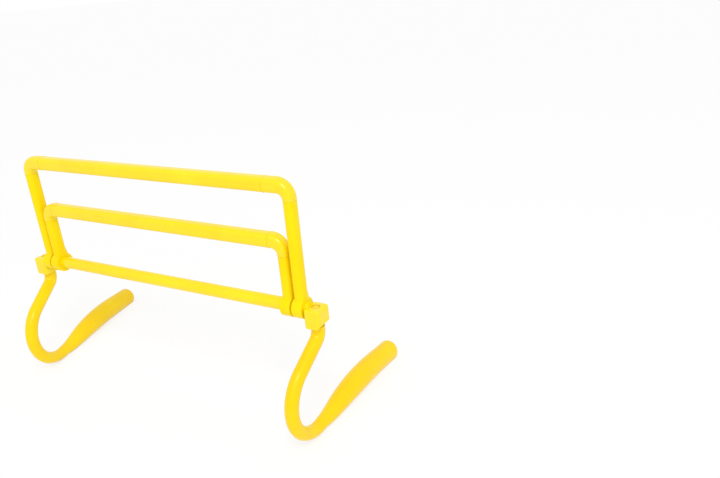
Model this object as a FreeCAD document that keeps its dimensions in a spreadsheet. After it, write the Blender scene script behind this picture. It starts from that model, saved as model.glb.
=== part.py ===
import FreeCAD, Part
import math
import os
import Sketcher

# Speed hurdle: a round base bar between two foot blocks, two U-shaped frames that turn on the bar
# one inside the other, and two hook-shaped feet that swivel under the blocks.
# X runs along the bar, +Y points to the tips of the feet, Z is up, lengths are in millimetres.

SIZES = {
    # Base bar: a hollow round tube, its axis above the floor
    "bar_height": 150,
    "bar_diameter": 15.5,
    "bar_wall": 1.8,
    # Foot blocks: a moulded block at each end, with a neck and a peg that holds the bar
    "block_reach": 223,
    "block_width": 20,
    "block_depth": 24,
    "block_above_bar": 3.8,
    "block_below_bar": 19,
    "block_edge_radius": 3.5,
    "block_top_radius": 2.8,
    "block_corner_cut": 4,
    "neck_diameter": 15,
    "neck_length": 1.2,
    "neck_gap": 0.4,
    "bar_peg_length": 24,
    # Feet: a peg in the block, a leg that leans forward, a bend on the floor and a swollen tail
    "leg_diameter": 16,
    "leg_lean_angle": 59.4,
    "leg_straight_drop": 5,
    "knee_radius": 14,
    "bend_radius": 45.8,
    "sole_flat_depth": 0.5,
    "tail_rise_angle": 8,
    "tail_fall_angle": 8.3,
    "tail_arch_radius": 596,
    "tail_width": 28,
    "tail_thickness": 30,
    "tail_tip_length": 12,
    "foot_peg_diameter": 12,
    "foot_peg_length": 15,
    "peg_end_gap": 0.5,
    "left_splay_angle": 15.3,
    "right_splay_angle": 1.6,
    # Foot screws: a slotted head on a washer in the top of the block, threaded into the foot's peg
    "screw_diameter": 4,
    "screw_grip": 11,
    "screw_head_diameter": 8,
    "screw_head_height": 2.2,
    "screw_slot_width": 1.1,
    "screw_slot_depth": 0.9,
    "washer_diameter": 9,
    "washer_thickness": 0.8,
    "head_recess_diameter": 10,
    # Screw caps: a round plug pressed into the recess over each screw head, with a notch to prise it out
    "cap_thickness": 1.2,
    "cap_sink": 0.4,
    "cap_gap": 0.2,
    "cap_notch_width": 2.4,
    "cap_notch_depth": 1,
    # Frames: a top tube with rounded edges, two corner elbows and two arms with a collar round the bar
    "outer_rise": 141.5,
    "outer_corner_radius": 22,
    "outer_corner_length": 16,
    "outer_corner_run": 30,
    "inner_rise": 77.5,
    "inner_corner_radius": 20,
    "inner_corner_length": 16,
    "inner_corner_run": 16,
    "tube_height": 17,
    "frame_depth": 16,
    "frame_edge_radius": 5.5,
    "frame_wall": 2,
    "arm_width": 12.5,
    "heel_depth": 3.4,
    "heel_foot": 3.5,
    "heel_height": 17,
    "collar_diameter": 25.5,
    "collar_width": 12.8,
    "collar_gap": 2.7,
    "plug_length": 12,
    "inside_corner_radius": 7,
    # Friction rings: a rubber ring in a groove of each collar
    "ring_width": 3,
    "ring_thickness": 1.2,
    # Fits
    "running_clearance": 0.08,
    "face_gap": 0.3,
    "cut_overrun": 1,
}
# Share of the tail's length, of the way from the leg's section to the tail's, and of the leg's radius by
# which the tail's middle lies lower there
TAIL_SHARES = (
    (0, 0, 0),
    (0.08, 0.22, 0.25),
    (0.2, 0.55, 0.2),
    (0.34, 0.84, 0.08),
    (0.5, 1, 0),
    (0.75, 1, 0),
    (1, 1, 0),
)
# Share of the tip's length, from the end of the tail to the very end of the foot
TIP_SHARES = (0, 0.3, 0.55, 0.75, 0.9, 0.97, 0.995)

X_AXIS = FreeCAD.Vector(1, 0, 0)
Y_AXIS = FreeCAD.Vector(0, 1, 0)
Z_AXIS = FreeCAD.Vector(0, 0, 1)

doc = FreeCAD.newDocument("SpeedHurdle")
sheet = doc.addObject("Spreadsheet::Sheet", "Sizes")
for row, (alias, value) in enumerate(SIZES.items(), start=1):
    sheet.set("A%d" % row, alias)
    sheet.set("B%d" % row, str(value))
    sheet.setAlias("B%d" % row, alias)
doc.recompute()

SIDES = (("left", -1), ("right", 1))
nodes = []


def size(alias):
    """The value of one cell of the sheet."""
    return float(sheet.get(alias))


def bind(item, links):
    """Tie properties of an object to formulas on the sheet's cells."""
    for prop, formula in links.items():
        item.setExpression(prop, formula)
    return item


def place(item, x, y, z):
    """Tie the place of an object to formulas on the sheet's cells."""
    return bind(item, {"Placement.Base.x": x, "Placement.Base.y": y, "Placement.Base.z": z})


def cylinder(name, diameter, length, direction, x, z):
    """A cylinder in the middle plane that starts at a point and runs along a direction."""
    item = doc.addObject("Part::Cylinder", name)
    item.Placement.Rotation = FreeCAD.Rotation(Z_AXIS, direction)
    bind(item, {"Radius": "(%s) / 2" % diameter, "Height": length})
    return place(item, x, "0", z)


def edge_names(shape, wanted):
    """Names of the edges of a shape for which a test is true."""
    return ["Edge%d" % number for number, edge in enumerate(shape.Edges, start=1) if wanted(edge)]


def runs_along(direction):
    """A test for straight edges along a direction."""
    def wanted(edge):
        return isinstance(edge.Curve, Part.Line) and edge.Curve.Direction.cross(direction).Length < abs(
            edge.Curve.Direction.dot(direction)
        )
    return wanted


def sketch_on(body, name, role):
    """An empty sketch on one of the body's own planes."""
    sketch = body.newObject("Sketcher::SketchObject", name)
    plane = [item for item in body.Origin.OriginFeatures if item.Role == role][0]
    sketch.AttachmentSupport = [(plane, "")]
    sketch.MapMode = "FlatFace"
    return sketch


def draw_outline(sketch, corners):
    """A closed outline of straight sides; each corner is a pair of formulas."""
    points = [[value_of(formula) for formula in corner] for corner in corners]
    for start, end in zip(points, points[1:] + points[:1]):
        line = Part.LineSegment(FreeCAD.Vector(*start, 0), FreeCAD.Vector(*end, 0))
        sketch.addGeometry(line, False)
    for index in range(len(points)):
        following = (index + 1) % len(points)
        sketch.addConstraint(Sketcher.Constraint("Coincident", index, 2, following, 1))
    for index, corner in enumerate(corners):
        for kind, value, formula in zip(("DistanceX", "DistanceY"), points[index], corner):
            number = sketch.addConstraint(Sketcher.Constraint(kind, -1, 1, index, 1, value))
            sketch.setExpression("Constraints[%d]" % number, formula)
    return sketch


def value_of(formula):
    """What a formula on the sheet's cells comes to."""
    return float(sheet.evalExpression(formula))


def padded(name, role, corners, depth):
    """A body with one outline padded evenly to both sides of its plane."""
    body = doc.addObject("PartDesign::Body", name)
    sketch = draw_outline(sketch_on(body, name + "_outline", role), corners)
    pad = body.newObject("PartDesign::Pad", name + "_pad")
    pad.Profile = sketch
    pad.SideType = "Symmetric"
    bind(pad, {"Length": depth})
    doc.recompute()
    return body


def rounded(body, name, wanted, radius):
    """Round those edges of a body that a test picks out."""
    doc.recompute()
    base = body.Tip
    fillet = body.newObject("PartDesign::Fillet", name)
    fillet.Base = (base, edge_names(base.Shape, wanted))
    bind(fillet, {"Radius": radius})
    body.Tip = fillet
    doc.recompute()
    return body


def rounded_bar(name, lengths, direction, radius, x, y, z):
    """A bar with its four long edges rounded, its low corner at a point."""
    body = doc.addObject("PartDesign::Body", name)
    box = body.newObject("PartDesign::AdditiveBox", name + "_box")
    bind(box, dict(zip(("Length", "Width", "Height"), lengths)))
    body.Tip = box
    rounded(body, name + "_edges", runs_along(direction), radius)
    return place(body, x, y, z)


def fuse(name, shapes):
    """Several solids made one."""
    item = doc.addObject("Part::MultiFuse", name)
    item.Shapes = shapes
    return item


def cut(name, base, tools):
    """The base with all the tools taken away."""
    item = doc.addObject("Part::Cut", name)
    item.Base = base
    item.Tool = tools[0] if len(tools) == 1 else fuse(name + "_tools", tools)
    return item


def node(item, label, sign=1):
    """Mark an object as a finished piece: its file's name, and half a turn if it goes on the -X side."""
    half_turn = math.degrees(math.acos(sign))
    item.Label = label
    item.Placement = FreeCAD.Placement(FreeCAD.Vector(), FreeCAD.Rotation(Z_AXIS, half_turn))
    nodes.append(item)
    return item


def ring_line(centre, half_a, half_b):
    """A closed oval wire about a point, from two half-axes that are vectors square to each other."""
    normal = half_a.cross(half_b).normalize()
    matrix = FreeCAD.Matrix(
        half_a.x, half_b.x, normal.x, centre.x,
        half_a.y, half_b.y, normal.y, centre.y,
        half_a.z, half_b.z, normal.z, centre.z,
        0, 0, 0, 1,
    )
    return Part.Wire(Part.makeCircle(1).transformGeometry(matrix).Edges)


# Base bar: it ends where the neck of each block begins, just outside the outer frame's collar
OVERRUN = "Sizes.cut_overrun"
BAR_Z = "Sizes.bar_height"
BLOCK_IN = "(Sizes.block_reach - Sizes.block_width / 2)"
BAR_END = "(%s - Sizes.neck_length)" % BLOCK_IN
BAR_BORE = "(Sizes.bar_diameter - 2 * Sizes.bar_wall)"
bar_skin = cylinder("bar_skin", "Sizes.bar_diameter", "2 * " + BAR_END, X_AXIS, "-" + BAR_END, BAR_Z)
bore_start = "(%s + %s)" % (BAR_END, OVERRUN)
bar_bore = cylinder("bar_bore", BAR_BORE, "2 * " + bore_start, X_AXIS, "-" + bore_start, BAR_Z)
node(cut("base_bar", bar_skin, [bar_bore]), "base_bar")

# Foot blocks: an outline with its lower outer corner cut off, padded, with its edges rounded,
# a neck and a peg towards the bar, a socket for the foot from below and a screw hole from above
BLOCK_TOP = "(Sizes.bar_height + Sizes.block_above_bar)"
BLOCK_FOOT = "(Sizes.bar_height - Sizes.block_below_bar)"
BLOCK_OUT = "(Sizes.block_reach + Sizes.block_width / 2)"
SOCKET_TOP = "(%s + Sizes.foot_peg_length + Sizes.peg_end_gap)" % BLOCK_FOOT
CAP_FOOT = "(%s - Sizes.cap_sink - Sizes.cap_thickness)" % BLOCK_TOP
HEAD_FOOT = "(%s - Sizes.cap_gap - Sizes.screw_head_height)" % CAP_FOOT
WASHER_FOOT = "(%s - Sizes.washer_thickness)" % HEAD_FOOT
RECESS_FLOOR = "(%s - Sizes.running_clearance)" % WASHER_FOOT
BLOCK_OUTLINE = (
    (BLOCK_IN, BLOCK_FOOT),
    (BLOCK_OUT + " - Sizes.block_corner_cut", BLOCK_FOOT),
    (BLOCK_OUT, BLOCK_FOOT + " + Sizes.block_corner_cut"),
    (BLOCK_OUT, BLOCK_TOP),
    (BLOCK_IN, BLOCK_TOP),
)


def is_on_top(edge):
    return edge.BoundBox.ZMin > value_of(BLOCK_TOP) - size("face_gap")


def rounded_block(name):
    body = padded(name, "XZ_Plane", BLOCK_OUTLINE, "Sizes.block_depth")
    rounded(body, name + "_sides", runs_along(Z_AXIS), "Sizes.block_edge_radius")
    return rounded(body, name + "_rim", is_on_top, "Sizes.block_top_radius")


for side, sign in SIDES:
    name = side + "_block"
    neck_length = "Sizes.neck_length + Sizes.block_edge_radius"
    neck = cylinder(name + "_neck", "Sizes.neck_diameter", neck_length, X_AXIS, BAR_END, BAR_Z)
    peg_start = "%s - Sizes.bar_peg_length" % BAR_END
    peg_length = "Sizes.bar_peg_length + " + neck_length
    peg = cylinder(name + "_peg", BAR_BORE, peg_length, X_AXIS, peg_start, BAR_Z)
    whole = fuse(name + "_whole", [rounded_block(name + "_body"), neck, peg])
    socket_bore = "Sizes.foot_peg_diameter + 2 * Sizes.running_clearance"
    socket_start = "%s - %s" % (BLOCK_FOOT, OVERRUN)
    socket_depth = "Sizes.foot_peg_length + Sizes.peg_end_gap + " + OVERRUN
    hole_bore = "Sizes.screw_diameter + 2 * Sizes.running_clearance"
    hole_length = "%s - %s + %s" % (RECESS_FLOOR, SOCKET_TOP, OVERRUN)
    recess_length = "%s - %s + %s" % (BLOCK_TOP, RECESS_FLOOR, OVERRUN)
    reach = "Sizes.block_reach"
    tools = [
        cylinder(name + "_socket", socket_bore, socket_depth, Z_AXIS, reach, socket_start),
        cylinder(name + "_hole", hole_bore, hole_length, Z_AXIS, reach, SOCKET_TOP),
        cylinder(name + "_recess", "Sizes.head_recess_diameter", recess_length, Z_AXIS, reach, RECESS_FLOOR),
    ]
    node(cut(name, whole, tools), side + "_foot_block", sign)


# Feet: one round bar from the shoulder under the block to the end of the bend, a tail that swells as it
# runs back along the floor, a rounded tip, and a peg with a pilot hole for the screw


def in_plane(forward, height):
    """A point of the foot's own plane."""
    return FreeCAD.Vector(0, forward, height)


def foot_shape():
    leg_radius = size("leg_diameter") / 2
    lean = math.radians(size("leg_lean_angle"))
    rise = math.radians(size("tail_rise_angle"))
    fall = math.radians(size("tail_fall_angle"))
    knee = size("knee_radius")
    bend = size("bend_radius")
    arch = size("tail_arch_radius")
    block_foot = size("bar_height") - size("block_below_bar")
    shoulder = block_foot - size("face_gap")
    knee_top = block_foot - size("leg_straight_drop")
    bend_height = leg_radius + bend - size("sole_flat_depth")

    def on_knee(angle):
        return in_plane(knee * (math.cos(angle) - 1), knee_top - knee * math.sin(angle))

    knee_end = on_knee(lean)
    leg_run = (knee_end.z - bend_height - bend * math.sin(lean)) / math.cos(lean)
    leg_end = knee_end + in_plane(-math.sin(lean), -math.cos(lean)) * leg_run
    bend_centre = in_plane(leg_end.y + bend * math.cos(lean), bend_height)

    def on_bend(angle):
        return bend_centre + in_plane(math.sin(angle), -math.cos(angle)) * bend

    bend_middle_angle = (rise - math.pi / 2 - lean) / 2
    tail_start = on_bend(rise)
    arch_centre = tail_start + in_plane(math.sin(rise), -math.cos(rise)) * arch

    def on_arch(angle):
        return arch_centre + in_plane(-math.sin(angle), math.cos(angle)) * arch

    top = in_plane(0, shoulder)
    path = Part.Wire([
        Part.LineSegment(top, in_plane(0, knee_top)).toShape(),
        Part.Arc(in_plane(0, knee_top), on_knee(lean / 2), knee_end).toShape(),
        Part.LineSegment(knee_end, leg_end).toShape(),
        Part.Arc(leg_end, on_bend(bend_middle_angle), tail_start).toShape(),
    ])
    leg = path.makePipeShell([ring_line(top, X_AXIS * leg_radius, Y_AXIS * leg_radius)], True, False)

    half_width = size("tail_width") / 2
    half_thickness = size("tail_thickness") / 2

    def tail_section(angle, across, upward, sink):
        normal = in_plane(-math.sin(angle), math.cos(angle))
        return ring_line(on_arch(angle) - normal * sink, X_AXIS * across, normal * upward)

    sections = []
    for along, swell, sink in TAIL_SHARES:
        across = leg_radius + swell * (half_width - leg_radius)
        upward = leg_radius + swell * (half_thickness - leg_radius)
        sections.append(tail_section(rise - along * (rise + fall), across, upward, sink * leg_radius))
    tail = Part.makeLoft(sections, True)
    sections = []
    for along in TIP_SHARES:
        left = math.sqrt(1 - along * along)
        angle = -fall - along * size("tail_tip_length") / arch
        sections.append(tail_section(angle, half_width * left, half_thickness * left, 0))
    tip = Part.makeLoft(sections, True)

    peg = Part.makeCylinder(size("foot_peg_diameter") / 2, size("foot_peg_length"), top)
    pilot_length = size("screw_grip") + size("cut_overrun")
    pilot_start = top + Z_AXIS * (size("foot_peg_length") - size("screw_grip"))
    pilot = Part.makeCylinder(size("screw_diameter") / 2, pilot_length, pilot_start)
    whole = leg.fuse([tail, tip, peg]).cut(pilot)
    length = whole.BoundBox.DiagonalLength
    below_floor = Part.makeBox(2 * length, 2 * length, length, FreeCAD.Vector(-length, -length, -length))
    return whole.cut(below_floor)


SHOULDER = "(%s - Sizes.face_gap)" % BLOCK_FOOT
SCREW_TIP = "(%s + Sizes.foot_peg_length - Sizes.screw_grip)" % SHOULDER
for side, sign in SIDES:
    foot = doc.addObject("Part::Feature", side + "_foot")
    foot.Shape = foot_shape()
    node(foot, side + "_foot")
    foot.Placement = FreeCAD.Placement(
        X_AXIS * sign * size("block_reach"), FreeCAD.Rotation(Z_AXIS, -sign * size(side + "_splay_angle"))
    )
    # Its screw, washer and cap
    name = side + "_screw"
    reach = "%d * Sizes.block_reach" % sign
    shank_length = "%s - %s" % (HEAD_FOOT, SCREW_TIP)
    shank = cylinder(name + "_shank", "Sizes.screw_diameter", shank_length, Z_AXIS, reach, SCREW_TIP)
    head_width = "Sizes.screw_head_diameter"
    head_height = "Sizes.screw_head_height"
    head = cylinder(name + "_head", head_width, head_height, Z_AXIS, reach, HEAD_FOOT)
    slot = doc.addObject("Part::Box", name + "_slot")
    slot_length = "(%s + 2 * %s)" % (head_width, OVERRUN)
    bind(slot, {
        "Length": slot_length,
        "Width": "Sizes.screw_slot_width",
        "Height": "Sizes.screw_slot_depth + " + OVERRUN,
    })
    slot_foot = "%s + %s - Sizes.screw_slot_depth" % (HEAD_FOOT, head_height)
    place(slot, "%s - %s / 2" % (reach, slot_length), "-Sizes.screw_slot_width / 2", slot_foot)
    node(cut(name, fuse(name + "_blank", [shank, head]), [slot]), side + "_foot_screw")
    name = side + "_washer"
    thickness = "Sizes.washer_thickness"
    disc = cylinder(name + "_disc", "Sizes.washer_diameter", thickness, Z_AXIS, reach, WASHER_FOOT)
    hole = cylinder(name + "_hole", "Sizes.screw_diameter", thickness, Z_AXIS, reach, WASHER_FOOT)
    node(cut(name, disc, [hole]), side + "_foot_washer")
    name = side + "_cap"
    cap_width = "Sizes.head_recess_diameter"
    plug = cylinder(name + "_plug", cap_width, "Sizes.cap_thickness", Z_AXIS, reach, CAP_FOOT)
    notch = doc.addObject("Part::Box", name + "_notch")
    bind(notch, {
        "Length": "Sizes.cap_notch_width",
        "Width": "Sizes.cap_notch_depth + " + OVERRUN,
        "Height": "Sizes.cap_thickness + 2 * " + OVERRUN,
    })
    notch_foot = "%s - %s" % (CAP_FOOT, OVERRUN)
    notch_start = "%s / 2 - Sizes.cap_notch_depth" % cap_width
    place(notch, "%s - Sizes.cap_notch_width / 2" % reach, notch_start, notch_foot)
    node(cut(name, plug, [notch]), side + "_screw_cap")


# Frames: each is a straight tube, two elbows plugged into it, and two arms that the elbows plug into
HALF_DEPTH = "Sizes.frame_depth / 2"
PLUG_EDGE = "(Sizes.frame_edge_radius - Sizes.frame_wall)"
PLUG_DEPTH = "(Sizes.frame_depth - 2 * Sizes.frame_wall)"
TUBE_PLUG = "(Sizes.tube_height - 2 * Sizes.frame_wall)"
ARM_PLUG = "(Sizes.arm_width - 2 * Sizes.frame_wall)"


def elbow(name, frame, sign, x, z):
    """A corner drawn about the point where the axes of the tube and the arm meet, with its two plugs."""
    length = "Sizes.%s_corner_length" % frame
    run = "Sizes.%s_corner_run" % frame
    half_height = "Sizes.tube_height / 2"
    half_width = "Sizes.arm_width / 2"
    corners = (
        ("-" + run, "-" + half_height),
        ("-" + half_width, "-" + half_height),
        ("-" + half_width, "-" + length),
        (half_width, "-" + length),
        (half_width, half_height),
        ("-" + run, half_height),
    )
    body = padded(name + "_bend", "XZ_Plane", corners, "Sizes.frame_depth")

    def at(corner_x, corner_z):
        def wanted(edge):
            box = edge.BoundBox
            away = abs(box.XMin - corner_x) + abs(box.XMax - corner_x) + abs(box.ZMin - corner_z)
            return box.YLength > size("frame_edge_radius") and away < size("face_gap")
        return wanted

    outside = at(value_of(half_width), value_of(half_height))
    inside = at(-value_of(half_width), -value_of(half_height))
    rounded(body, name + "_outside", outside, "Sizes.%s_corner_radius" % frame)
    rounded(body, name + "_inside", inside, "Sizes.inside_corner_radius")
    run_end = size("face_gap") - value_of(run)
    foot_end = size("face_gap") - value_of(length)

    def follows_bend(edge):
        box = edge.BoundBox
        return box.YLength < size("face_gap") and box.XMax > run_end and box.ZMax > foot_end

    rounded(body, name + "_edges", follows_bend, "Sizes.frame_edge_radius")
    tube_plug = rounded_bar(
        name + "_tube_plug", ("Sizes.plug_length", PLUG_DEPTH, TUBE_PLUG), X_AXIS, PLUG_EDGE,
        "-(%s + Sizes.plug_length)" % run, "-%s / 2" % PLUG_DEPTH, "-%s / 2" % TUBE_PLUG,
    )
    arm_plug = rounded_bar(
        name + "_arm_plug", (ARM_PLUG, PLUG_DEPTH, "Sizes.plug_length"), Z_AXIS, PLUG_EDGE,
        "-%s / 2" % ARM_PLUG, "-%s / 2" % PLUG_DEPTH, "-(%s + Sizes.plug_length)" % length,
    )
    whole = node(fuse(name, [body, tube_plug, arm_plug]), name, sign)
    whole.Placement.Base = FreeCAD.Vector(value_of(x), 0, value_of(z))
    return whole


def arm(name, x, top):
    """A collar round the bar, an upright with a heel at its back, and a socket in its upper end."""
    start = "%s - Sizes.collar_width / 2" % x
    collar = cylinder(name + "_collar", "Sizes.collar_diameter", "Sizes.collar_width", X_AXIS, start, BAR_Z)
    heel_foot = "(%s + Sizes.heel_foot)" % BAR_Z
    corners = (
        ("-" + HALF_DEPTH, BAR_Z),
        (HALF_DEPTH, BAR_Z),
        (HALF_DEPTH + " + Sizes.heel_depth", heel_foot),
        (HALF_DEPTH, heel_foot + " + Sizes.heel_height"),
        (HALF_DEPTH, top),
        ("-" + HALF_DEPTH, top),
    )
    upright = padded(name + "_upright", "YZ_Plane", corners, "Sizes.arm_width")

    def is_upright(edge):
        return runs_along(Z_AXIS)(edge) and edge.BoundBox.ZMax > value_of(heel_foot) + size("face_gap")

    rounded(upright, name + "_edges", is_upright, "Sizes.frame_edge_radius")
    place(upright, x, "0", "0")
    bore_start = "%s - %s" % (start, OVERRUN)
    bore_length = "Sizes.collar_width + 2 * " + OVERRUN
    bore_width = "Sizes.bar_diameter + 2 * Sizes.running_clearance"
    bore = cylinder(name + "_bore", bore_width, bore_length, X_AXIS, bore_start, BAR_Z)
    groove_start = "%s - Sizes.ring_width / 2" % x
    groove = cylinder(name + "_groove", RING_OUTSIDE, "Sizes.ring_width", X_AXIS, groove_start, BAR_Z)
    socket = rounded_bar(
        name + "_socket", (ARM_PLUG, PLUG_DEPTH, "Sizes.plug_length + " + OVERRUN), Z_AXIS, PLUG_EDGE,
        "%s - %s / 2" % (x, ARM_PLUG), "-%s / 2" % PLUG_DEPTH, "%s - Sizes.plug_length" % top,
    )
    return cut(name, fuse(name + "_whole", [collar, upright]), [bore, groove, socket])


def friction_ring(name, x):
    start = "%s - Sizes.ring_width / 2" % x
    outside = cylinder(name + "_outside", RING_OUTSIDE, "Sizes.ring_width", X_AXIS, start, BAR_Z)
    inside_width = "Sizes.bar_diameter + 2 * Sizes.running_clearance"
    inside = cylinder(name + "_inside", inside_width, "Sizes.ring_width", X_AXIS, start, BAR_Z)
    return cut(name, outside, [inside])


RING_OUTSIDE = "Sizes.bar_diameter + 2 * (Sizes.running_clearance + Sizes.ring_thickness)"
OUTER_REACH = "(%s - Sizes.neck_gap - Sizes.collar_width / 2)" % BAR_END
INNER_REACH = "(%s - Sizes.collar_width - Sizes.collar_gap)" % OUTER_REACH
for frame, reach in (("outer", OUTER_REACH), ("inner", INNER_REACH)):
    axis_height = "(%s + Sizes.%s_rise)" % (BAR_Z, frame)
    arm_top = "(%s - Sizes.%s_corner_length)" % (axis_height, frame)
    half_length = "(%s - Sizes.%s_corner_run)" % (reach, frame)
    name = frame + "_tube"
    skin_foot = axis_height + " - Sizes.tube_height / 2"
    skin = rounded_bar(
        name + "_skin", ("2 * " + half_length, "Sizes.frame_depth", "Sizes.tube_height"), X_AXIS,
        "Sizes.frame_edge_radius", "-" + half_length, "-" + HALF_DEPTH, skin_foot,
    )
    bore_half = "(%s + %s)" % (half_length, OVERRUN)
    bore = rounded_bar(
        name + "_bore", ("2 * " + bore_half, PLUG_DEPTH, TUBE_PLUG), X_AXIS,
        PLUG_EDGE, "-" + bore_half, "-%s / 2" % PLUG_DEPTH, "%s - %s / 2" % (axis_height, TUBE_PLUG),
    )
    node(cut(name, skin, [bore]), frame + "_top_tube")
    for side, sign in SIDES:
        x = "%d * %s" % (sign, reach)
        name = "%s_%s" % (frame, side)
        elbow(name + "_elbow", frame, sign, x, axis_height)
        node(arm(name + "_arm", x, arm_top), name + "_arm")
        node(friction_ring(name + "_ring", x), name + "_friction_ring")

doc.recompute()
for item in doc.Objects:
    if "Invalid" in item.State or "Error" in item.State:
        raise RuntimeError("%s: %s" % (item.Name, item.State))

# The feet already stand on the floor: move the origin along it to under the middle of the part
corners = [point for item in nodes for point in item.Shape.tessellate(size("running_clearance"))[0]]
middle_x = (min(point.x for point in corners) + max(point.x for point in corners)) / 2
middle_y = (min(point.y for point in corners) + max(point.y for point in corners)) / 2
to_origin = FreeCAD.Placement(FreeCAD.Vector(-middle_x, -middle_y, 0), FreeCAD.Rotation())
for item in nodes:
    item.Placement = to_origin.multiply(item.Placement)
doc.recompute()

for item in nodes:
    if item.Shape.isNull() or not item.Shape.isValid() or len(item.Shape.Solids) != 1:
        raise RuntimeError("%s is not one valid solid" % item.Label)

print("bar centre at x %.3f, y %.3f" % (-middle_x, -middle_y))
os.makedirs("parts", exist_ok=True)
for item in nodes:
    item.Shape.exportStep("parts/%s.step" % item.Label)
    print("%s %.1f mm3" % (item.Label, item.Shape.Volume))
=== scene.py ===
import math

import bmesh
import bpy
from mathutils import Matrix, Vector


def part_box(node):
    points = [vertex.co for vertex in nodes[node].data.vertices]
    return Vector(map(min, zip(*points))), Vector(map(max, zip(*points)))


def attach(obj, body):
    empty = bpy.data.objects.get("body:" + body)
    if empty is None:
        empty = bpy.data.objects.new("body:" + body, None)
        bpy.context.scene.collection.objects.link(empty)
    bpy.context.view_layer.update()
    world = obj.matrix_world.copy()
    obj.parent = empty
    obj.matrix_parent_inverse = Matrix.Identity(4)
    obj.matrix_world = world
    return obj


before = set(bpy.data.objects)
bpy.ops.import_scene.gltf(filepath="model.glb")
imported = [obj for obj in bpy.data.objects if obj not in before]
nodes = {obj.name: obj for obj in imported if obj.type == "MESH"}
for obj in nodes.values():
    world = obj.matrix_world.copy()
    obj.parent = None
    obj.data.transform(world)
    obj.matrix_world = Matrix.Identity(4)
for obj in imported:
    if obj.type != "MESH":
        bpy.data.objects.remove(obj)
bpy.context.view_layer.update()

# Base bar
# The round tube that everything else hangs on, extruded in the same bright yellow plastic as the
# mouldings and pressed onto a peg of each foot block. Frames turned on it leave lengthwise rubs.


class Value:
    """A shader socket that can be used in sums: each operator adds a Math node."""

    def __init__(self, finish, socket):
        self.finish = finish
        self.socket = socket

    def math(self, operation, first, second):
        return self.finish.node("ShaderNodeMath", {"operation": operation}, {0: first, 1: second})

    def __add__(self, other):
        return self.math("ADD", self, other)

    def __radd__(self, other):
        return self.math("ADD", other, self)

    def __mul__(self, other):
        return self.math("MULTIPLY", self, other)

    def __rmul__(self, other):
        return self.math("MULTIPLY", other, self)


class Finish:
    """The shader nodes of a new material, or of the world, and the means to add to them."""

    def __init__(self, name, owner=None, shader="Principled BSDF"):
        self.material = owner or bpy.data.materials.new(name)
        self.material.use_nodes = True
        self.tree = self.material.node_tree
        self.shader = self.tree.nodes[shader]

    def node(self, kind, settings=None, sockets=None, output=0):
        """Add a node: its settings first, then the values or links of its sockets."""
        node = self.tree.nodes.new(kind)
        for name, setting in (settings or {}).items():
            setattr(node, name, setting)
        for name, value in (sockets or {}).items():
            self.feed(node.inputs[name], value)
        return Value(self, node.outputs[output])

    def feed(self, socket, value):
        """Link a socket to a value, or set it to a constant."""
        if isinstance(value, Value):
            self.tree.links.new(value.socket, socket)
        else:
            socket.default_value = value

    def set(self, **sockets):
        """Set or link sockets of the shader; an underscore stands for a space."""
        for name, value in sockets.items():
            self.feed(self.shader.inputs[name.replace("_", " ")], value)

    def place(self, scale=(1, 1, 1)):
        """Where a point of the piece lies, stretched by a scale."""
        spot = self.node("ShaderNodeTexCoord", output="Object")
        return self.node("ShaderNodeMapping", None, {"Vector": spot, "Scale": scale})

    def noise(self, spot, scale, detail=2.0, roughness=0.5):
        """Random drift over the piece, finer with a greater scale."""
        sockets = {"Vector": spot, "Scale": scale, "Detail": detail, "Roughness": roughness}
        return self.node("ShaderNodeTexNoise", None, sockets)

    def between(self, value, low, high):
        """Stretch the part of a value between two limits to run from 0 to 1."""
        sockets = {"Value": value, "From Min": low, "From Max": high}
        return self.node("ShaderNodeMapRange", {"clamp": True}, sockets)

    def mix(self, share, first, second):
        """A colour between two others."""
        sockets = {0: share, 6: first, 7: second}
        return self.node("ShaderNodeMix", {"data_type": "RGBA"}, sockets, output=2)

    def seen(self):
        """1 where a ray from the camera, a reflection or a pane arrives, 0 for light on its way."""
        flags = [
            self.node("ShaderNodeLightPath", output=label)
            for label in ("Is Camera Ray", "Is Glossy Ray", "Is Transmission Ray")
        ]
        return self.between(flags[0] + flags[1] + flags[2], 0, 1)

    def blend(self, share, kind, **sockets):
        """Show a share of a second shader over the first."""
        second = self.node(kind, None, sockets)
        first = Value(self, self.shader.outputs[0])
        mixed = self.node("ShaderNodeMixShader", None, {"Fac": share, 1: first, 2: second})
        output = next(node for node in self.tree.nodes if node.type.startswith("OUTPUT"))
        self.feed(output.inputs["Surface"], mixed)

    def dress(self, *names):
        """Give this finish to some pieces."""
        for name in names:
            mesh = nodes[name].data
            mesh.materials.clear()
            mesh.materials.append(self.material)


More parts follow.
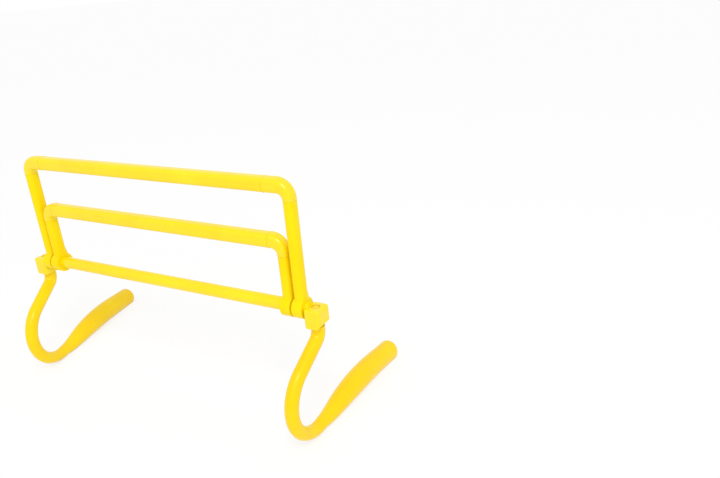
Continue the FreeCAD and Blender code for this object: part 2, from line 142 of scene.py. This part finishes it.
def yellow_plastic(name, deep, clear, rub_stretch, gloss, dust_height=0.0):
    """Bright yellow plastic: pigment that drifts from a deep to a clear yellow, a faint moulded skin
    of some gloss, rubs drawn out along the piece, and dust where the piece touches the floor."""
    finish = Finish(name)
    spot = finish.place()

    pigment_scale = 22
    pigment_limits = (0.35, 0.7)
    cloud = finish.between(finish.noise(spot, pigment_scale, 3), *pigment_limits)
    colour = finish.mix(cloud, deep, clear)

    rub_scale = 260
    rub_breakup = 0.6
    rub_limits = (0.60, 0.80)
    patch_scale = 14
    patch_limits = (0.48, 0.66)
    rub_colour_share = 0.35
    pale_yellow = (0.96, 0.82, 0.14, 1)
    streaks = finish.noise(finish.place(rub_stretch), rub_scale, 4, rub_breakup)
    rubs = finish.between(streaks, *rub_limits)
    patches = finish.between(finish.noise(spot, patch_scale, 2), *patch_limits)
    worn = rubs * patches
    colour = finish.mix(worn * rub_colour_share, colour, pale_yellow)

    skin_scale = 900
    clean_roughness = 0.17
    skin_roughness = 0.08
    rub_roughness = 0.2
    skin = finish.noise(spot, skin_scale, 2)
    roughness = clean_roughness + skin * skin_roughness + worn * rub_roughness

    if dust_height:
        dust_scale = 160
        dust_limits = (0.3, 0.75)
        dust_colour_share = 0.45
        dust_roughness = 0.35
        grey_brown = (0.42, 0.34, 0.20, 1)
        height = finish.node("ShaderNodeSeparateXYZ", None, {"Vector": spot}, output="Z")
        specks = finish.between(finish.noise(spot, dust_scale, 3), *dust_limits)
        dust = finish.between(height, dust_height, 0) * specks
        colour = finish.mix(dust * dust_colour_share, colour, grey_brown)
        roughness = roughness + dust * dust_roughness
    finish.set(Base_Color=colour, Roughness=roughness)

    ripple_scale = 120
    ripple_share = 0.6
    skin_share = 0.25
    rub_share = 0.25
    relief_strength = 0.10
    relief_height = 0.0004
    ripple = finish.noise(spot, ripple_scale, 2)
    relief = ripple * ripple_share + skin * skin_share + rubs * rub_share
    bump_sockets = {"Strength": relief_strength, "Distance": relief_height, "Height": relief}
    bump = finish.node("ShaderNodeBump", None, bump_sockets)
    finish.set(Normal=bump, Specular_IOR_Level=gloss)
    return finish


along_bar = (0.06, 1, 1)
deep_yellow = (0.925, 0.680, 0.001, 1)
clear_yellow = (0.935, 0.735, 0.003, 1)
tube_gloss = 0.36
bar_plastic = yellow_plastic("bar_plastic", deep_yellow, clear_yellow, along_bar, tube_gloss)
bar_plastic.dress("base_bar")

# Foot blocks
# A moulded block at each end of the bar, held by a peg pressed into the tube, with a socket below for
# the foot's peg and a recess on top for the screw. Same yellow plastic, scuffed every way.

sides = ("left", "right")
all_ways = (0.5, 0.5, 0.5)
block_gloss = 0.42
block_plastic = yellow_plastic("block_plastic", deep_yellow, clear_yellow, all_ways, block_gloss)
block_plastic.dress("left_foot_block", "right_foot_block")


class Shaper:
    """A Geometry Nodes tree with named inputs, run on a mesh to make a plain mesh."""

    def __init__(self, name, inputs):
        self.tree = bpy.data.node_groups.new(name, "GeometryNodeTree")
        interface = self.tree.interface
        interface.new_socket("Geometry", in_out="INPUT", socket_type="NodeSocketGeometry")
        self.inputs = {}
        for label, kind in inputs.items():
            self.inputs[label] = interface.new_socket(label, in_out="INPUT", socket_type=kind)
        interface.new_socket("Geometry", in_out="OUTPUT", socket_type="NodeSocketGeometry")
        self.given = self.tree.nodes.new("NodeGroupInput").outputs
        self.result = self.tree.nodes.new("NodeGroupOutput").inputs["Geometry"]

    def node(self, kind, settings=None, sockets=None, output=0):
        """Add a node: its settings first, then the values or links of its sockets."""
        node = self.tree.nodes.new(kind)
        for name, setting in (settings or {}).items():
            setattr(node, name, setting)
        for name, value in (sockets or {}).items():
            if isinstance(value, bpy.types.NodeSocket):
                self.tree.links.new(value, node.inputs[name])
            else:
                node.inputs[name].default_value = value
        return node.outputs[output]

    def bead(self, path):
        """A round bead along a curve."""
        bead_sides = 8
        round_sockets = {"Resolution": bead_sides, "Radius": self.given["Bead radius"]}
        circle = self.node("GeometryNodeCurvePrimitiveCircle", None, round_sockets)
        bead_sockets = {"Curve": path, "Profile Curve": circle, "Fill Caps": True}
        return self.node("GeometryNodeCurveToMesh", None, bead_sockets)

    def close(self, geometry):
        """End the tree: make its copies real and give them their material."""
        real = self.node("GeometryNodeRealizeInstances", None, {"Geometry": geometry})
        paint_sockets = {"Geometry": real, "Material": self.given["Material"]}
        painted = self.node("GeometryNodeSetMaterial", None, paint_sockets)
        self.tree.links.new(painted, self.result)

    def make(self, name, mesh, values):
        """Run the tree on a mesh and keep what comes out as a new piece."""
        source = bpy.data.objects.new(name + "_source", mesh)
        bpy.context.scene.collection.objects.link(source)
        modifier = source.modifiers.new("shape", "NODES")
        modifier.node_group = self.tree
        for label, value in values.items():
            modifier[self.inputs[label].identifier] = value
        shaped = source.evaluated_get(bpy.context.evaluated_depsgraph_get())
        plain = bpy.data.meshes.new_from_object(shaped)
        bpy.data.objects.remove(source)
        piece = bpy.data.objects.new(name, plain)
        bpy.context.scene.collection.objects.link(piece)
        return piece


def cut_line(name, mesh, point, normal, wanted):
    """Edges in which a plane cuts a mesh, where both ends pass a test."""
    weld_distance = 0.000002
    plane_distance = 0.000001
    work = bmesh.new()
    work.from_mesh(mesh)
    bmesh.ops.remove_doubles(work, verts=work.verts, dist=weld_distance)
    everything = work.verts[:] + work.edges[:] + work.faces[:]
    plane = {"plane_co": point, "plane_no": normal, "dist": plane_distance}
    found = bmesh.ops.bisect_plane(work, geom=everything, **plane)
    points = []
    places = {}
    edges = []
    for item in found["geom_cut"]:
        if isinstance(item, bmesh.types.BMEdge) and all(wanted(end.co) for end in item.verts):
            for end in item.verts:
                if end not in places:
                    places[end] = len(points)
                    points.append(end.co.copy())
            edges.append([places[end] for end in item.verts])
    work.free()
    line = bpy.data.meshes.new(name)
    line.from_pydata(points, edges, [])
    return line


mould_line_radius = 0.00025
line_inputs = {"Bead radius": "NodeSocketFloat", "Material": "NodeSocketMaterial"}
line_shaper = Shaper("bead_along_line", line_inputs)
line_path = line_shaper.node("GeometryNodeMeshToCurve", None, {"Mesh": line_shaper.given["Geometry"]})
line_shaper.close(line_shaper.bead(line_path))


def mould_line(piece, body, finish, point, normal, wanted):
    """The fine raised line that two halves of a mould leave on a piece, where they meet in a plane."""
    outline = cut_line(piece + "_outline", nodes[piece].data, point, normal, wanted)
    values = {"Bead radius": mould_line_radius, "Material": finish.material}
    line = line_shaper.make(piece + "_mould_line", outline, values)
    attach(line, body)


def middle_of(piece):
    """The middle of a piece's box."""
    low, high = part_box(piece)
    return (low + high) / 2


upwards = Vector((0, 0, 1))
block_split_share = 0.55
socket_clear = 0.0085
for side in sides:
    block_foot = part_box(side + "_foot_block")[0].z
    axis = middle_of(side + "_foot_screw")
    split = Vector((axis.x, axis.y, block_foot + block_split_share * (axis.z - block_foot)))

    def on_outside(place):
        return (place - split).length > socket_clear

    mould_line(side + "_foot_block", "base", block_plastic, split, upwards, on_outside)

# Feet
# Solid hook-shaped mouldings of a deeper yellow: a leg, a round bend on the floor and a tail that
# swells to a thick round end. A peg on top turns in the block. The halves of the mould left a fine
# raised line all round the foot's own plane, and the soles gather dust.

foot_dust_height = 0.005
foot_deep = (0.920, 0.615, 0.001, 1)
foot_clear = (0.935, 0.680, 0.002, 1)
foot_gloss = 0.20
foot_plastic = yellow_plastic(
    "foot_plastic", foot_deep, foot_clear, all_ways, foot_gloss, foot_dust_height
)
foot_plastic.dress("left_foot", "right_foot")

sole_clear = 0.0015
shoulder_clear = 0.002
splay_angles = {"left": math.radians(15.3), "right": math.radians(-1.6)}
for side, splay in splay_angles.items():
    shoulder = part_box(side + "_foot_block")[0].z - shoulder_clear
    axis = middle_of(side + "_foot_screw")
    across_foot = Vector((math.cos(splay), math.sin(splay), 0))

    def on_show(place):
        return sole_clear < place.z < shoulder

    mould_line(side + "_foot", side + "_foot", foot_plastic, axis, across_foot, on_show)

# Foot screws and washers
# Zinc-plated steel, sunk in the top of each block and driven into the foot's peg. Turning leaves a
# fine grain on the heads.

turned = (1, 1, 40)
grain_scale = 600
dark_zinc = (0.36, 0.35, 0.32, 1)
bright_zinc = (0.56, 0.55, 0.52, 1)
zinc_roughness = 0.28
grain_roughness = 0.2
steel = Finish("zinc_plate")
grain = steel.noise(steel.place(turned), grain_scale, 3)
steel.set(Base_Color=steel.mix(grain, dark_zinc, bright_zinc))
steel.set(Roughness=zinc_roughness + grain * grain_roughness, Metallic=1.0)
steel.dress("left_foot_screw", "right_foot_screw", "left_foot_washer", "right_foot_washer")

# Screw caps
# A round plug of the yellow plastic pressed into the recess over each screw head, a little below the
# top of the block, with a notch to prise it out. A ring of painted shade marks the crack round its
# edge.

cap_plastic = yellow_plastic("cap_plastic", foot_deep, foot_clear, all_ways, foot_gloss)
cap_plastic.dress("left_screw_cap", "right_screw_cap")

corner_steps = 8
ring_inputs = {
    "Width": "NodeSocketFloat",
    "Depth": "NodeSocketFloat",
    "Corner radius": "NodeSocketFloat",
    "Bead radius": "NodeSocketFloat",
    "Material": "NodeSocketMaterial",
}
ring_shaper = Shaper("bead_round_joint", ring_inputs)
ring_outline = ring_shaper.node(
    "GeometryNodeCurvePrimitiveQuadrilateral", {"mode": "RECTANGLE"},
    {"Width": ring_shaper.given["Width"], "Height": ring_shaper.given["Depth"]},
)
ring_path = ring_shaper.node(
    "GeometryNodeFilletCurve", {"mode": "POLY"},
    {"Curve": ring_outline, "Count": corner_steps, "Radius": ring_shaper.given["Corner radius"]},
)
ring_turn = ring_shaper.node(
    "GeometryNodeInputNamedAttribute", {"data_type": "FLOAT_VECTOR"}, {"Name": "turn"}
)
ring_sockets = {
    "Points": ring_shaper.given["Geometry"],
    "Instance": ring_shaper.bead(ring_path),
    "Rotation": ring_turn,
}
ring_shaper.close(ring_shaper.node("GeometryNodeInstanceOnPoints", None, ring_sockets))


def joint_rings(name, body, finish, radius, sink, spots, turn, section):
    """Rings round the joints at some spots, all turned alike, sunk in pieces of one section."""
    width, depth, corner_radius = section
    points = bpy.data.meshes.new(name + "_spots")
    points.from_pydata(spots, [], [])
    turns = points.attributes.new("turn", "FLOAT_VECTOR", "POINT")
    for item in turns.data:
        item.vector = turn
    values = {
        "Width": width - 2 * sink,
        "Depth": depth - 2 * sink,
        "Corner radius": corner_radius - sink,
        "Bead radius": radius,
        "Material": finish.material,
    }
    rings = ring_shaper.make(name, points, values)
    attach(rings, body)


def crack_shade(name, dark, light, roughness, gloss):
    """Painted shade for the crack of a joint: a darker colour, its tone uneven along it."""
    shade_mottle_scale = 300
    shade_mottle_roughness = 0.2
    finish = Finish(name)
    # Painted shade: noise drifts the darker crack colour between two tones along the joint.
    shade_mottle = finish.noise(finish.place(), shade_mottle_scale, 3)
    finish.set(Base_Color=finish.mix(shade_mottle, dark, light))
    finish.set(Roughness=roughness + shade_mottle * shade_mottle_roughness, Specular_IOR_Level=gloss)
    return finish


# Painted shade: a dark ochre bead round the top edge of each cap stands in for the shadow in its
# crack.
cap_dark = (0.60, 0.38, 0.001, 1)
cap_light = (0.70, 0.46, 0.002, 1)
cap_crack_roughness = 0.5
cap_crack_gloss = 0.1
cap_shade = crack_shade("cap_shade", cap_dark, cap_light, cap_crack_roughness, cap_crack_gloss)
facing_up = (0, 0, 0)
cap_ring_radius = 0.0005
cap_round_share = 0.49
for side in sides:
    cap_low, cap_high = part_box(side + "_screw_cap")
    cap_width = cap_high.x - cap_low.x
    cap_top = ((cap_low.x + cap_high.x) / 2, (cap_low.y + cap_high.y) / 2, cap_high.z)
    cap_section = (cap_width, cap_width, cap_width * cap_round_share)
    fit = ("base", cap_shade, cap_ring_radius, cap_ring_radius)
    joint_rings(side + "_cap_seam", *fit, [cap_top], facing_up, cap_section)

# Arms
# An upright of each frame in the yellow plastic, moulded in one with a collar that turns on the bar
# and a heel at its back. Hands fold the frames by these, so their rubs run up and down.

up_and_down = (1, 1, 0.06)
frame_names = ("outer", "inner")
frame_sides = [(name, side) for name in frame_names for side in sides]
arm_gloss = 0.10
arm_plastic = yellow_plastic("arm_plastic", deep_yellow, clear_yellow, up_and_down, arm_gloss)
arm_plastic.dress(*["%s_%s_arm" % pair for pair in frame_sides])

bar_middle = middle_of("base_bar")
along_y = Vector((0, 1, 0))
arm_half_width = 0.00625
for name, side in frame_sides:
    arm = "%s_%s_arm" % (name, side)
    arm_x = middle_of(arm).x

    def on_side(place):
        return abs(place.x - arm_x) > arm_half_width - mould_line_radius

    mould_line(arm, name + "_frame", arm_plastic, bar_middle, along_y, on_side)

# Friction rings
# A black rubber ring in a groove of each collar grips the bar, so that a frame stays where it is set.
# Only its edge ever shows, dulled with a grey bloom.

bloom_scale = 400
black = (0.012, 0.012, 0.012, 1)
bloomed_black = (0.03, 0.03, 0.03, 1)
rubber_roughness = 0.65
bloom_roughness = 0.2
rubber = Finish("black_rubber")
bloom = rubber.noise(rubber.place(), bloom_scale, 3)
rubber.set(Base_Color=rubber.mix(bloom, black, bloomed_black))
rubber.set(Roughness=rubber_roughness + bloom * bloom_roughness)
rubber.dress(*["%s_%s_friction_ring" % pair for pair in frame_sides])

# Elbows and top tubes
# Moulded yellow corners, plugged into the arms below and into a straight extruded tube between them.
# Each end of a corner has a low rounded lip, and a hairline of shade runs round every joint.

elbow_plastic = yellow_plastic("elbow_plastic", deep_yellow, clear_yellow, all_ways, block_gloss)
elbow_plastic.dress(*["%s_%s_elbow" % pair for pair in frame_sides])
tube_plastic = yellow_plastic("tube_plastic", deep_yellow, clear_yellow, along_bar, tube_gloss)
tube_plastic.dress("outer_top_tube", "inner_top_tube")

for name, side in frame_sides:
    elbow = "%s_%s_elbow" % (name, side)
    tube_low, tube_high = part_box(name + "_top_tube")
    arm_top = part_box("%s_%s_arm" % (name, side))[1].z

    def outside_plugs(place):
        return not tube_low.x < place.x < tube_high.x and place.z > arm_top

    mould_line(elbow, name + "_frame", elbow_plastic, bar_middle, along_y, outside_plugs)

# Painted shade: a darker amber bead sunk round each joint stands in for the shadow in its hairline
# gap.
seam_dark = (0.84, 0.56, 0.001, 1)
seam_light = (0.90, 0.64, 0.002, 1)
seam_roughness = 0.45
seam_gloss = 0.2
seam_shade = crack_shade("seam_shade", seam_dark, seam_light, seam_roughness, seam_gloss)
seam_radius = 0.0012
seam_sink = 0.00105
lip_radius = 0.00075
lip_sink = 0.0004
lip_setback = 0.001
ring_kinds = (
    ("seams", seam_shade, seam_radius, seam_sink, 0),
    ("lips", elbow_plastic, lip_radius, lip_sink, lip_setback),
)
frame_edge_radius = 0.0055
frame_depth = 0.016
tube_height = 0.017
tube_section = (tube_height, frame_depth, frame_edge_radius)
arm_section = (2 * arm_half_width, frame_depth, frame_edge_radius)
facing_along = (0, math.radians(90), 0)
for name in frame_names:
    tube_low, tube_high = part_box(name + "_top_tube")
    middle = (tube_low + tube_high) / 2
    arm_boxes = [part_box("%s_%s_arm" % (name, side)) for side in sides]
    for kind, finish, radius, sink, setback in ring_kinds:
        tube_ends = [(x, middle.y, middle.z) for x in (tube_low.x - setback, tube_high.x + setback)]
        arm_ends = [((low.x + high.x) / 2, middle.y, high.z + setback) for low, high in arm_boxes]
        fit = (name + "_frame", finish, radius, sink)
        joint_rings("%s_tube_%s" % (name, kind), *fit, tube_ends, facing_along, tube_section)
        joint_rings("%s_arm_%s" % (name, kind), *fit, arm_ends, facing_up, arm_section)

# Floor, light and camera
# A plain white floor that keeps a faint shadow, an even white room, two soft lamps above the camera,
# and the photograph's point of view.

floor_half = 30.0
floor_white = (0.96, 0.96, 0.96, 1)
floor_roughness = 0.9
floor_gloss = 0.1
floor_glow_share = 0.75
full_white = (1, 1, 1, 1)
full_level = 1.0
floor_mesh = bpy.data.meshes.new("floor")
corners = [(x * floor_half, y * floor_half, 0) for x, y in ((-1, -1), (1, -1), (1, 1), (-1, 1))]
floor_mesh.from_pydata(corners, [], [(0, 1, 2, 3)])
floor = bpy.data.objects.new("floor", floor_mesh)
bpy.context.scene.collection.objects.link(floor)
floor_paint = Finish("floor_paint")
floor_paint.set(Base_Color=floor_white, Roughness=floor_roughness, Specular_IOR_Level=floor_gloss)
floor_glow = floor_paint.seen() * floor_glow_share
floor_paint.blend(floor_glow, "ShaderNodeEmission", Color=full_white, Strength=full_level)
floor_mesh.materials.append(floor_paint.material)

room_level = 0.84
world = bpy.data.worlds.new("studio")
bpy.context.scene.world = world
room = Finish("room", world, "Background")
room.set(Color=full_white, Strength=room_level)
room.blend(room.seen(), "ShaderNodeBackground", Color=full_white, Strength=full_level)


def lamp(name, kind, place, power):
    """A lamp at a place, aimed at the middle of the bar."""
    data = bpy.data.lights.new(name, kind)
    data.energy = power
    item = bpy.data.objects.new(name, data)
    item.location = place
    item.rotation_euler = (bar_middle - Vector(place)).to_track_quat("-Z", "Y").to_euler()
    bpy.context.scene.collection.objects.link(item)
    return data


wide_place = (0.45, -0.80, 1.0)
wide_power = 0.50
wide_spread = math.radians(36)
wide_lamp = lamp("wide_lamp", "SUN", wide_place, wide_power)
wide_lamp.angle = wide_spread
soft_place = (0.75, -0.75, 1.4)
soft_power = 5.4
soft_size = 0.4
soft_lamp = lamp("soft_lamp", "AREA", soft_place, soft_power)
soft_lamp.size = soft_size

photo_width_px = 720
focal_px = 658.97
sensor_width_mm = 36
camera_pitch = math.radians(21.89)
camera_yaw = math.radians(-29.27)
camera_roll = math.radians(-4.46)
camera_from_bar = Vector((0.58661, -0.53765, 0.48960))
forward = Vector((
    math.sin(camera_yaw) * math.cos(camera_pitch),
    math.cos(camera_yaw) * math.cos(camera_pitch),
    -math.sin(camera_pitch),
))
level = Vector((math.cos(camera_yaw), -math.sin(camera_yaw), 0))
upright = level.cross(forward)
right = level * math.cos(camera_roll) + upright * math.sin(camera_roll)
up = upright * math.cos(camera_roll) - level * math.sin(camera_roll)
camera_data = bpy.data.cameras.new("camera")
camera_data.sensor_width = sensor_width_mm
camera_data.lens = focal_px * sensor_width_mm / photo_width_px
camera = bpy.data.objects.new("camera", camera_data)
below_bar = Vector((bar_middle.x, bar_middle.y, 0))
camera_turn = Matrix((right, up, -forward)).transposed().to_4x4()
camera.matrix_world = Matrix.Translation(below_bar + camera_from_bar) @ camera_turn
bpy.context.scene.collection.objects.link(camera)
bpy.context.scene.camera = camera
bpy.context.scene.view_settings.view_transform = "Standard"
